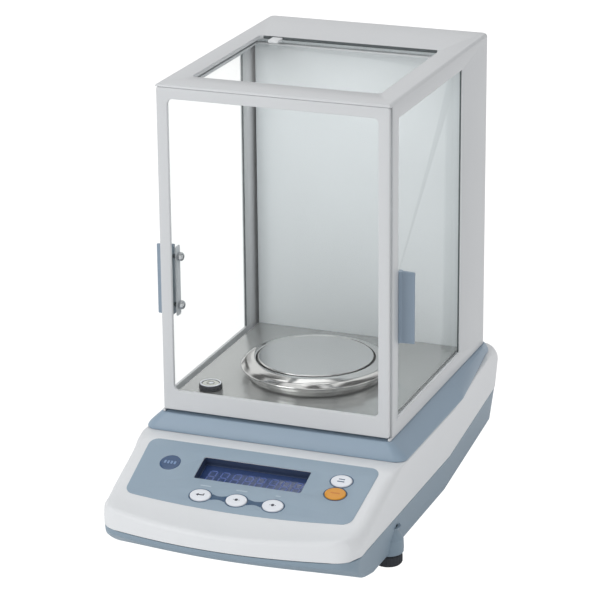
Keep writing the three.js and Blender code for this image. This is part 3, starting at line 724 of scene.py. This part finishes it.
def printed(name, outlines, finish, low=FILM - INK, high=FILM + INK, edge=0.02, slot="badge_blue", **more):
    """Flat outlines on the console, from low to high."""
    on_panel(name, plate(outlines, low, high, edge), finish, slot, **more)


def key_oval(key, grow):
    """The outline of a key, grown by a gap."""
    low, high = panel_span(key)
    return oval(*(low + high).xy / 2, (high.x - low.x) / 2 + grow, (high.y - low.y) / 2 + grow)


def console_holes(window_radius):
    return [around(*panel_span("display_window"), GAP, window_radius), *[key_oval(key, GAP) for key in KEYS]]


def build_overlay():
    """The printed membrane: straight at the top, bowed at the bottom, open for display and keys."""
    low, high = panel_span("keypad_overlay")
    bow, half = 6.0, high.x - 3.1
    lower = [(half * share, low.y + bow * share ** 2) for share in (i / 7 for i in range(-7, 8))]
    corners = [(-high.x, high.y), *lower, (high.x, high.y)]
    outline = rounded(corners, [7.0, 8.0, *[20.0] * 13, 8.0, 7.0])
    membrane = plate([outline, *console_holes(1.6)], 0.0, FILM, 0.12)
    on_panel("membrane_overlay", membrane, OVERLAY, "panel_blue", replaces=["keypad_overlay"])


def build_keys():
    """Domed oval key caps on stems, their printed outlines and plain marks."""
    levels = [
        (-4.8, 0.0), (0.5, 0.0), (0.62, 0.05), (0.8, 0.28), (0.9, 0.7), (0.96, 1.4), (0.99, 2.6), (1.0, 4.4),
    ]
    for key, body in KEYS.items():
        low, high = panel_span(key)
        x, y = (low + high).xy / 2
        rx, ry = (high.x - low.x) / 2, (high.y - low.y) / 2
        rings = []
        for height, inset in levels:
            z = height if height < 0 else high.z * height
            rings.append([(px, py, z) for px, py in oval(x, y, rx - inset, max(0.8, ry - inset))])
        line = [(0, low.z), (2.2, low.z), (2.5, low.z + 0.4), (2.5, -4.6), (0, -4.6)]
        cap = merged(loft(rings), lathe(line, x, y, 32, closed=False))
        finish, slot = (KEY_ORANGE, "key_orange") if key.startswith("orange") else (KEY_WHITE, "key_white")
        on_panel(key + "_cap", cap, finish, slot, body=body, replaces=[key])
        build_mark(key, body, x, y, high.z)
        ring = [key_oval(key, 1.05), key_oval(key, 0.32)]
        printed(key + "_outline", ring, PRINT_BLUE, FILM, FILM + 0.09, 0.03)


def build_mark(key, body, x, y, top):
    """Plain marks on the keys: an arrow, dots and dashes."""
    ink, slot = PRINT_DARK, "badge_blue"
    if key == "lower_left_key":
        arrow = [
            (-3.4, -0.2), (-1.3, 1.2), (-1.3, 0.3), (2.2, 0.3), (2.2, 1.6), (3.0, 1.6), (3.0, -0.7),
            (-1.3, -0.7), (-1.3, -1.6),
        ]
        shapes = [[(x + dx, y + dy) for dx, dy in arrow]]
    elif key.startswith("lower"):
        shapes = [oval(x, y, 1.35, 1.2, 24), oval(x - 2.2, y, 0.35, 0.3, 12), oval(x + 2.2, y, 0.35, 0.3, 12)]
    elif key == "upper_right_key":
        ink = PRINT_BLUE
        shapes = [
            rect(x - 2.4, x + 2.4, y + 0.7, y + 1.6, 0.2), rect(x - 3.0, x + 2.6, y - 1.8, y - 0.8, 0.2),
        ]
    else:
        ink, slot = PRINT_BROWN, "key_orange"
        shapes = [rect(x - 3.6, x + 3.6, y - 0.5, y + 0.7, 0.4)]
    printed(key + "_mark", shapes, ink, top - 0.02, top + 0.06, body=body, slot=slot)


def link_between(a, b, wide, waist):
    """A printed link between two key outlines, narrower in the middle."""
    (alow, ahigh), (blow, bhigh) = panel_span(a), panel_span(b)
    start, end = (alow + ahigh).xy / 2, (blow + bhigh).xy / 2
    length = (end - start).length
    along = (end - start).normalized()
    across = Vector((-along.y, along.x))
    reach = ((ahigh.x - alow.x) if abs(along.x) > 0.5 else (ahigh.y - alow.y)) / 2 + 0.6
    sides = []
    for t in (i / 8 for i in range(9)):
        spot = start + along * (reach + (length - 2 * reach) * t)
        sides.append((spot, across * (waist + (wide - waist) * (2 * t - 1) ** 2)))
    return [tuple(p + w) for p, w in sides] + [tuple(p - w) for p, w in reversed(sides)]


def build_print():
    """The links between the keys, the dashes over them and the round badge with plain bars."""
    printed("key_links", [
        link_between("lower_left_key", "lower_middle_key", 3.3, 1.9),
        link_between("lower_middle_key", "lower_right_key", 3.3, 1.9),
        link_between("upper_right_key", "orange_right_key", 4.4, 3.8),
    ], PRINT_BLUE)
    dashes = []
    for key, half in (("lower_left_key", 4.2), ("lower_middle_key", 4.4), ("lower_right_key", 2.0)):
        low, high = panel_span(key)
        x, y = (low.x + high.x) / 2 + 0.2, high.y + 4.6
        dashes.append(rect(x - half, x + half, y - 0.55, y + 0.55, 0.3))
    printed("key_dashes", dashes, PRINT_PALE, slot="panel_blue")
    low, high = panel_span("badge_disc")
    x, y = (low + high).xy / 2
    radius = (high.x - low.x) / 2
    line = [(0, 0.7), (radius - 1.2, 0.66), (radius - 0.1, 0.5), (radius, 0.2), (radius, -0.1), (0, -0.1)]
    disc = lathe(softened(line, 0.3), x, y, closed=False)
    on_panel("badge", disc, BADGE, "badge_blue", replaces=["badge_disc"])
    bars = []
    for i in range(4):
        middle = x + (i - 1.5) * 2.6
        bars.append(rect(middle - 0.8, middle + 0.8, y - 1.6, y + 1.6, 0.5))
    printed("badge_mark", bars, BADGE_MARK, 0.6, 0.78, 0.03)


def build_display():
    """A deep recess with the display's filter at its bottom and faint seven-segment figures."""
    low, high = panel_span("display_window")
    x0, x1, y0, y1 = low.x - 0.25, high.x + 0.25, low.y - 0.25, high.y + 0.25
    deep, wall = -6.4, 1.2

    def frame_of(out, radius, inner):
        return [rect(x0 - out, x1 + out, y0 - out, y1 + out, radius), inner]

    recess = plate(frame_of(wall, 2.4, rect(x0, x1, y0, y1, 1.4)), deep - 2.5, -0.35, 0.1)
    on_panel("display_recess", recess, RECESS, "black_plastic", replaces=["display_module"])
    opening = rect(x0 + 0.8, x1 - 0.8, y0 + 0.6, y1 - 1.6, 0.8)
    bezel = plate(frame_of(0.4, 1.4, opening), deep - 0.2, deep + 0.5, 0.15)
    on_panel("display_bezel", bezel, RECESS, "black_plastic")
    window = plate([rect(x0 - 0.2, x1 + 0.2, y0 - 0.2, y1 + 0.2, 1.0)], deep - 1.6, deep, 0.1)
    on_panel("display_filter", window, FILTER, "display_blue", replaces=["display_window"])

    digits = 8
    pitch = (x1 - x0 - 7) / digits
    wide, tall, line = pitch * 0.55, (y1 - y0) * 0.5, 0.95
    lean = tan(radians(8))
    middle_y = (y0 + y1) / 2 - 1.0
    strokes = [(0, up, True) for up in (1, 0, -1)]
    strokes += [(over, up, False) for up in (0.5, -0.5) for over in (-1, 1)]
    segments = []
    for i in range(digits):
        cx = x0 + 4.0 + pitch * (i + 0.5)
        for over, up, flat in strokes:
            px, py = cx + over * wide / 2, middle_y + up * tall / 2
            hx, hy = (wide / 2 - 0.5, line / 2) if flat else (line / 2, tall / 4 - 0.5)
            bar = rect(px - hx, px + hx, py - hy, py + hy, 0)
            segments.append([(x + (y - middle_y) * lean, y) for x, y in bar])
    printed("display_figures", segments, SEGMENT, deep - 0.02, deep + 0.05, slot="display_blue")


# ---- draught shield ----

top_low, top_high = span("shield_top_frame")
base_low, base_high = span("shield_base_frame")
column_low, column_high = span("rear_column")
post_low, post_high = span("front_right_post")
ffront_low, ffront_high = span("front_frame")
SKIN = post_high.x - post_low.x
OUT = base_high.x
SHEET = 2.8
WINDOW_HALF = 73.4
WINDOW_FRONT = -55.8
door_low, door_high = span("right_door_glass")
pane_low, pane_high = span("top_door_glass")
GROOVE_IN, GROOVE_OUT = door_low.x - 0.5, door_high.x + 0.3
GROOVE_TOP = door_high.z + 0.4


def carcass_box():
    """A closed box with soft upright rear edges and soft top edges."""
    z0, z1 = base_low.z, top_high.z
    soft, straight = 2.6, 60

    def ring(inset, z):
        rear_round = max(0.6, 5.0 - inset)
        x, front, rear = OUT - inset, base_low.y + inset * 0.5, column_high.y - inset
        corners = [(-x, front), (x, front), (x, rear), (-x, rear)]
        return [(px, py, z) for px, py in rounded(corners, [0.8, 0.8, rear_round, rear_round])]

    rings = [ring(0, z) for z in (z0, z0 + straight, z1 - straight, z1 - soft)]
    return loft(rings + [ring(soft * over, z1 - soft * down) for over, down in quarter(6)[1:]])


def build_carcass():
    """The painted sheet carcass: sill, front posts, head rails, top and rear column in one."""
    inner_x, beyond, rear = OUT - SKIN, OUT + 5, column_high.y
    hollow = block(-inner_x, inner_x, base_low.y - 9, rear - 3, 60, top_high.z - SHEET, 0.5, 3.0)
    notch = knife(-beyond, beyond, base_low.y - 5, post_low.y, ffront_low.z - GAP, ffront_high.z + GAP)
    side_window = rect(post_high.y, column_low.y, base_high.z, top_low.z, 1.2)
    side_hole = moved(plate([side_window], -beyond, beyond, KNIFE_EDGE), FACING_RIGHT)
    top_window = rect(-WINDOW_HALF, WINDOW_HALF, WINDOW_FRONT, column_low.y, 4.0)
    top_hole = plate([top_window], top_high.z - 6, top_high.z + 6, KNIFE_EDGE)
    slots = []
    for sign in (-1, 1):
        a, b = sorted((sign * GROOVE_IN, sign * GROOVE_OUT))
        slots.append(knife(a, b, rear - 8, rear + 5, door_low.z - GAP, GROOVE_TOP))
    slots.append(knife(-79, 79, rear - 8, rear + 5, pane_low.z - GAP, pane_high.z + GAP))
    carcass = cut(carcass_box(), hollow, notch, side_hole, top_hole, merged(*slots))
    carcass = with_modifier(
        carcass, "BEVEL", width=0.45, segments=2, limit_method="ANGLE", angle_limit=radians(50),
    )
    replaced = ["shield_base_frame", "front_left_post", "front_right_post", "shield_top_frame", "rear_column"]
    piece("shield_carcass", carcass, PAINT, "shield_paint", angle=40, replaces=replaced)


def along_y(section, y0, y1, edge=0.3):
    """A section (x, z) drawn out from y0 to y1."""
    return moved(plate([section], -y1, -y0, edge), FACING_FRONT)


def build_rails():
    """Inside the carcass: the door rails, the ledge under the top pane and the floor pan."""
    ledge_low, ledge_high = pane_low.z - 1.7, pane_low.z - GAP
    rail_top, lip = top_high.z - SHEET + 0.2, top_low.z + 0.2
    front, rear = post_low.y + 0.1, column_low.y - GAP
    head_in, ledge_in, bar_in = 84.0, 76, 79
    section = [
        (ledge_in, ledge_low), (head_in, ledge_low), (head_in, lip), (GROOVE_IN, lip),
        (GROOVE_IN, GROOVE_TOP), (GROOVE_OUT, GROOVE_TOP), (GROOVE_OUT, rail_top),
        (bar_in, rail_top), (bar_in, ledge_high), (ledge_in, ledge_high),
    ]
    for side, sign in SIDES:
        rail = along_y([(sign * x, z) for x, z in section], front, rear, 0.15)
        piece(side + "_head_rail", rail, PAINT, "shield_paint")
    bar = block(-78.8, 78.8, front, WINDOW_FRONT - 3.6, ledge_high, rail_top, 0.15)
    front_ledge = block(-head_in, head_in, front, WINDOW_FRONT - 0.5, ledge_low, ledge_high, 0.2)
    piece("front_head_bar", merged(bar, front_ledge), PAINT, "shield_paint")
    rear_bar = block(-GROOVE_OUT, GROOVE_OUT, column_low.y, column_low.y + 5, ledge_low, ledge_high, 0.2)
    piece("rear_cross_bar", rear_bar, PAINT, "shield_paint")
    top, lip, bottom = span("floor_plate")[0].z - 0.2, door_low.z - GAP, base_low.z + 2.2
    section = [
        (-GROOVE_OUT, bottom), (GROOVE_OUT, bottom), (GROOVE_OUT, lip), (GROOVE_IN, lip),
        (GROOVE_IN, top), (-GROOVE_IN, top), (-GROOVE_IN, lip), (-GROOVE_OUT, lip),
    ]
    pan = along_y(section, post_low.y, column_high.y - 3.2, 0.2)
    piece("shield_floor_pan", cut(pan, knife(-70, 70, -58, 74, 80, 120)), PAINT, "shield_paint")


def build_painted_slot_shade():
    """Strips of painted shade, shaped like door seals, up each column's front edge, and a strip of painted
    shadow along the roof opening's rear edge.
    """
    y = column_low.y
    for side, sign in SIDES:
        a, b = sorted((sign * 88.95, sign * 90.2))
        # painted shade: the dark inside the column's door slot, drawn as a thin strip
        shade_strip = block(a, b, y - 0.25, y + 0.4, base_high.z + 0.5, top_low.z - 0.5, 0.1)
        piece(side + "_column_painted_shade", shade_strip, PAINTED_SLOT_SHADE, "black_plastic")
    # painted shadow: the dark slot under the roof's rear edge, above the top pane
    shadow_strip = block(-74, 74, y - 0.3, y + 0.5, pane_high.z + 0.35, top_high.z - 0.4, 0.1)
    piece("roof_painted_shadow", shadow_strip, PAINTED_SLOT_SHADE, "black_plastic")


def build_front_frame():
    """The flat frame around the front glass."""
    window = rect(-81.4, 81.4, 111.2, 337.6, 4.2)
    outer = rect(ffront_low.x, ffront_high.x, ffront_low.z, ffront_high.z, 1.8)
    body = moved(plate([outer, window], -ffront_high.y + 1.2, -ffront_low.y, 0.75, 3), FACING_FRONT)
    piece("front_window_frame", body, PAINT, "shield_paint", replaces=["front_frame"])


def pane(name, node, body, holes=()):
    """A float glass pane with bright arrises and darker green edges."""
    low, high = span(node)
    size = high - low
    thin = min(range(3), key=lambda i: size[i])
    mesh = slab(low, high, thin, 1.2, 0.25, 1, holes)
    for face in mesh.polygons:
        face.material_index = 0 if abs(face.normal.z) > 0.95 else 1
    piece(name, mesh, [GLASS, GLASS_EDGE], "glass", body=body, replaces=[node], matrix=TURNS[thin])


def build_glass():
    pane("front_pane", "front_glass", "base")
    pane("top_pane", "top_door_glass", "top_door")
    for side, _ in SIDES:
        holes = []
        for i in (1, 2):
            low, high = span(side + "_handle_screw_" + str(i))
            holes.append(oval((low.y + high.y) / 2, (low.z + high.z) / 2, 1.9, 1.9, 24))
        pane(side + "_pane", side + "_door_glass", side + "_door", holes)


def build_handles():
    """On each side door: a fin outside, a plate inside, and two screws through the glass."""
    half_fin = 1.3
    for side, sign in SIDES:
        body = side + "_door"
        node = side + "_door_handle"
        low, high = span(node)
        inner, outer = sorted((abs(low.x), abs(high.x)))
        foot, tip = inner + 3.2, outer - 0.1
        middle = (low.y + high.y) / 2
        section = [
            (inner, low.y), (foot - 0.8, low.y), (foot, middle - half_fin - 0.6),
            (tip, middle - half_fin + 0.2), (tip, middle + half_fin - 0.2),
            (foot, middle + half_fin + 0.6), (foot - 0.8, high.y), (inner, high.y),
        ]
        outline = rounded([(sign * x, y) for x, y in section], [0.2, 0.8, 1.4, 0.9, 0.9, 1.4, 0.8, 0.2], 5)
        grip = plate([outline], low.z, high.z, 0.6, 3)
        piece(side + "_handle_grip", grip, HANDLE, "handle_blue", body=body, replaces=[node])
        node = side + "_door_backplate"
        back = moved(slab(*span(node), 0, 1.6, 0.25), FACING_RIGHT)
        piece(side + "_handle_backplate", back, GREY, "grey_plastic", body=body, replaces=[node])
        for i in (1, 2):
            build_screw(side + "_handle_screw_" + str(i), body, sign)


def build_screw(node, body, sign):
    """A domed cross-head screw lying along x, with its head inside the chamber."""
    low, high = span(node)
    inner, outer = sorted((abs(low.x), abs(high.x)))
    radius = (high.z - low.z) / 2
    dome = [
        (0, inner), (1.2, inner + 0.02), (2.3, inner + 0.35), (3.1, inner + 1.1),
        (radius, inner + 2.4), (radius, inner + 4.0), (radius - 0.2, inner + 4.2),
        (1.6, inner + 4.2), (1.6, outer - 0.4), (1.2, outer), (0, outer),
    ]
    screw = lathe(softened(dome, 0.5), steps=48, closed=False)
    for long, wide in ((1.7, 0.35), (0.35, 1.7)):
        screw = cut(screw, block(-long, long, -wide, wide, inner - 1, inner + 0.9, 0.05))
    if sign < 0:
        screw.flip_normals()
    turn = Matrix(((0, 0, sign, 0), (1, 0, 0, 0), (0, 1, 0, 0), (0, 0, 0, 1)))
    place = Matrix.Translation((0, (low.y + high.y) / 2, (low.z + high.z) / 2)) @ turn
    piece(node + "_head", screw, BRIGHT, "polished_steel", body=body, replaces=[node], matrix=place)


def build_clip():
    clip = slab(*span("top_door_clip"), 2, 1.2, 0.5)
    piece("top_pane_clip", clip, WHITE, "white_shell", replaces=["top_door_clip"])


# ---- chamber ----

def build_chamber():
    """The chamber's back wall and its steel floor, open around the pan's spigot."""
    back = moved(slab(*span("chamber_back_panel"), 1, 1.0), FACING_FRONT)
    piece("back_wall", back, WALL_PAINT, "shield_paint", replaces=["chamber_back_panel"])
    floor = slab(*span("floor_plate"), 2, 1.5, 0.25, holes=[oval(*PAN_AXIS, 12, 12)])
    piece("steel_floor", floor, STEEL_FLOOR, "polished_steel", replaces=["floor_plate"])


def build_ring():
    """The draught ring: a rolled crown that steps in to a narrow seat."""
    low, high = span("draught_ring")
    seat, crown, outer = low.z, high.z, high.x
    line = [
        (46.0, crown - 2.8), (46.0, crown - 0.6), (46.8, crown), (49.5, crown - 0.4), (54.0, crown - 2.2),
        (outer, crown - 5.6), (outer - 0.3, crown - 7.0), (54.0, crown - 7.6), (53.5, crown - 8.0),
        (53.4, crown - 10.4), (52.6, crown - 10.8), (52.4, crown - 12.4), (52.0, seat + 0.6), (51.2, seat),
        (48.4, seat), (48.4, crown - 3.6),
    ]
    radii = [0.3, 0.5, 0.8, 4.0, 8.0, 1.2, 0.5, 0.5, 0.3, 0.5, 0.25, 0.3, 0.5, 0.2, 0.2, 0.5]
    ring = lathe(rounded(line, radii, 5), *PAN_AXIS, steps=160)
    piece("chrome_ring", ring, CHROME, "chrome", body="ring", replaces=["draught_ring"])


def build_pan():
    """The pan: a thin disc on a hub with a socket for the receiver's spigot."""
    low, high = span("weighing_pan")
    top, radius, socket_top = high.z, high.x, 116.6
    line = [
        (0, socket_top), (4.1, socket_top), (4.1, low.z), (9, low.z), (9, top - 3), (40, top - 2.4),
        (radius, top - 1.7), (radius, top - 0.35), (radius - 0.8, top), (radius - 1.6, top - 0.02),
        (0, top - 0.02),
    ]
    disc = lathe(softened(line, 0.7), *PAN_AXIS, steps=160, closed=False)
    piece("steel_pan", disc, STEEL_PAN, "polished_steel", body="pan", replaces=["weighing_pan"])


def build_level():
    """The bubble level: a dark cup with a bright rim, its liquid, target ring and bubble."""
    low, high = span("level_vial_housing")
    x, y = (low + high).xy / 2
    radius = (high.x - low.x) / 2
    seat, top = low.z, high.z
    wall = radius - 2.2
    cup = [
        (0, seat), (radius - 0.5, seat), (radius, seat + 0.5), (radius - 0.2, top - 0.9), (radius - 1.0, top),
        (radius - 1.9, top), (wall, top - 0.6), (wall, seat + 2.0), (0, seat + 2.0),
    ]
    cup = lathe(softened(cup, 0.4), x, y, 72, closed=False)
    piece("level_cup", cup, BLACK, "black_plastic", replaces=["level_vial_housing"])
    rim = lathe(rect(radius - 2.1, radius - 0.8, top - 0.4, top + 0.25, 0.25, 3), x, y, 72)
    piece("level_rim", rim, KEY_WHITE, "grey_plastic")
    inner = radius - 2.3
    vial = [(0, seat + 2.1), (inner, seat + 2.1), (inner, top - 0.6), (inner - 0.6, top - 0.2), (0, top)]
    vial = lathe(softened(vial, 0.4), x, y, 64, closed=False)
    piece("level_vial", vial, VIAL, "glass", replaces=["level_vial_lens"])
    target = lathe(rect(2.6, 3.0, top - 0.25, top + 0.1, 0.05, 2), x, y, 48)
    piece("level_target", target, PRINT_DARK, "black_plastic")
    bubble = softened([(0, top - 0.1), (1.9, top - 0.1), (1.7, top + 0.12), (0, top + 0.2)], 0.1)
    piece("level_bubble", lathe(bubble, x + 0.4, y + 0.3, 32, closed=False), KEY_WHITE, "glass")


# ---- parts that keep their CAD shape ----

def finish_nodes():
    """Materials for the CAD nodes that no piece replaces."""
    finishes = {
        "chassis_plate": ALUMINIUM, "weigh_cell": ALUMINIUM, "magnet_pot": DULL_STEEL,
        "load_receiver": DULL_STEEL, "main_circuit_board": BOARD, "keypad_board": BOARD,
        "serial_port": ALUMINIUM, "power_inlet": BLACK,
        "front_left_thread_insert": BRASS, "front_right_thread_insert": BRASS,
        **{"tray_screw_" + str(i): DULL_STEEL for i in (1, 2, 3, 4)},
    }
    for name, material in finishes.items():
        mesh = frame["nodes"][name].data
        mesh.materials.clear()
        mesh.materials.append(material)


# ---- stage, light and camera ----

WHITE_LIGHT = (1, 1, 1, 1)


def build_stage():
    """A floor that is plain white to the camera and pale and faintly lit to everything else."""
    mesh = bpy.data.meshes.new("floor")
    mesh.from_pydata([(x, y, 0) for x, y in rect(-6, 6, -6, 6, 0)], [], [(0, 1, 2, 3)])
    placed("floor", mesh)
    material, tree = blank("pale_floor")

    def glow(strength):
        return add(tree, "Emission", {"Color": WHITE_LIGHT, "Strength": strength})["Emission"]

    matt = add(tree, "BsdfDiffuse", {"Color": (0.8, 0.8, 0.8, 1)})["BSDF"]
    lit = add(tree, "AddShader", {0: matt, 1: glow(0.22)})["Shader"]
    camera_ray = add(tree, "LightPath")["Is Camera Ray"]
    add(tree, "OutputMaterial", {"Surface": mixed(tree, camera_ray, lit, glow(1.1))})
    mesh.materials.append(material)


def build_world():
    """White to the camera, an even light to matt surfaces, and broken patches to polished ones."""
    world = bpy.data.worlds.new("studio")
    scene.world = world
    world.use_nodes = True
    tree = world.node_tree
    tree.nodes.clear()

    def backdrop(colour, strength):
        return add(tree, "Background", {"Color": colour, "Strength": strength})["Background"]

    place = add(tree, "TexCoord")["Generated"]
    across = add(tree, "SeparateXYZ", {"Vector": place})["X"]
    lighting = backdrop((0.985, 0.99, 1, 1), ranged(tree, across, 0.72, 0.66, -0.6, 1.0))
    patches = add(tree, "TexNoise", {"Vector": place, "Scale": 2.2, "Detail": 0.0})["Fac"]
    reflected = backdrop(WHITE_LIGHT, ranged(tree, patches, 0.12, 0.95, 0.44, 0.56))
    rays = add(tree, "LightPath")
    unseen = mixed(tree, rays["Is Glossy Ray"], lighting, reflected)
    shown = mixed(tree, rays["Is Camera Ray"], unseen, backdrop(WHITE_LIGHT, 1.12))
    add(tree, "OutputWorld", {"Surface": shown})


def softbox(name, place, aim, size, power):
    """A rectangular lamp that faces a point."""
    light = bpy.data.lights.new(name, "AREA")
    light.shape = "RECTANGLE"
    light.size, light.size_y = size
    light.energy = power
    lamp = placed(name, light)
    lamp.location = place
    lamp.rotation_euler = (Vector(aim) - Vector(place)).to_track_quat("-Z", "Y").to_euler()
    return lamp


def build_lights():
    """A key at the front left, a top light, and a faint fill under the chamber's roof."""
    target = (0, 0, 0.15)
    softbox("key", (-1.1, -2.2, 1.1), target, (1.3, 1.3), 17)
    softbox("top", (-0.3, 0.2, 2.2), target, (1.6, 1.6), 5)
    inside = softbox("chamber_fill", (0, -0.005, 0.338), (0, 0, 0), (0.13, 0.11), 0.08)
    inside.visible_camera = False
    inside.visible_glossy = False


def build_camera():
    """A long lens, a little to the right of the front and looking down on the balance."""
    azimuth, elevation, roll = (radians(angle) for angle in (21.404, 19.202, -0.529))
    turn = Matrix.Rotation(azimuth, 4, "Z") @ Matrix.Rotation(pi / 2 - elevation, 4, "X")
    turn = turn @ Matrix.Rotation(roll, 4, "Z")
    camera = bpy.data.cameras.new("camera")
    camera.lens = 167.16
    camera.sensor_width = 36
    view = placed("camera", camera)
    view.matrix_world = Matrix.Translation((0.7213, -1.8692, 0.86355)) @ turn
    scene.camera = view


for build in (
    build_camera, build_housing, build_tray, build_plinth, build_overlay, build_keys, build_print,
    build_display, build_carcass, build_rails, build_painted_slot_shade, build_front_frame, build_glass,
    build_handles, build_clip, build_chamber, build_ring, build_pan, build_level, finish_nodes,
    build_stage, build_world, build_lights,
):
    build()
scene.view_settings.view_transform = "Standard"
